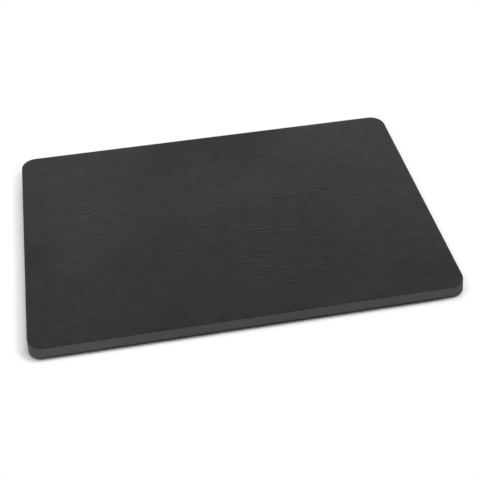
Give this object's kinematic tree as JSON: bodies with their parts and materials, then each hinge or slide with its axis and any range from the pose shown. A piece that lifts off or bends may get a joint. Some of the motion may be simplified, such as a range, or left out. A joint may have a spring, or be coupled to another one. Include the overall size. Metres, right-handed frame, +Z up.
{
  "type": "slate serving board",
  "caption": "Rectangular slate serving board with rounded corners and sawn, eased edges, on low self-adhesive foam pads; serves and presents food on a table.",
  "frame": {"origin": "on the table, under the middle of the board", "axes": "+X along the board's length, +Y away from the front edge, +Z up from the table to the serving face"},
  "size_m": [0.3, 0.2, 0.0102],
  "materials": {
    "slate": "riven faces, satin; sawn edges, matt",
    "adhesive": "translucent double-sided tape",
    "foam": "closed-cell foam, matt"
  },
  "bodies": {
    "root": {"slate_slab": "slate", "adhesive_disc_front_left": "adhesive", "adhesive_disc_front_right": "adhesive", "adhesive_disc_back_left": "adhesive", "adhesive_disc_back_right": "adhesive", "foam_pad_front_left": "foam", "foam_pad_front_right": "foam", "foam_pad_back_left": "foam", "foam_pad_back_right": "foam"}
  },
  "joints": []
}
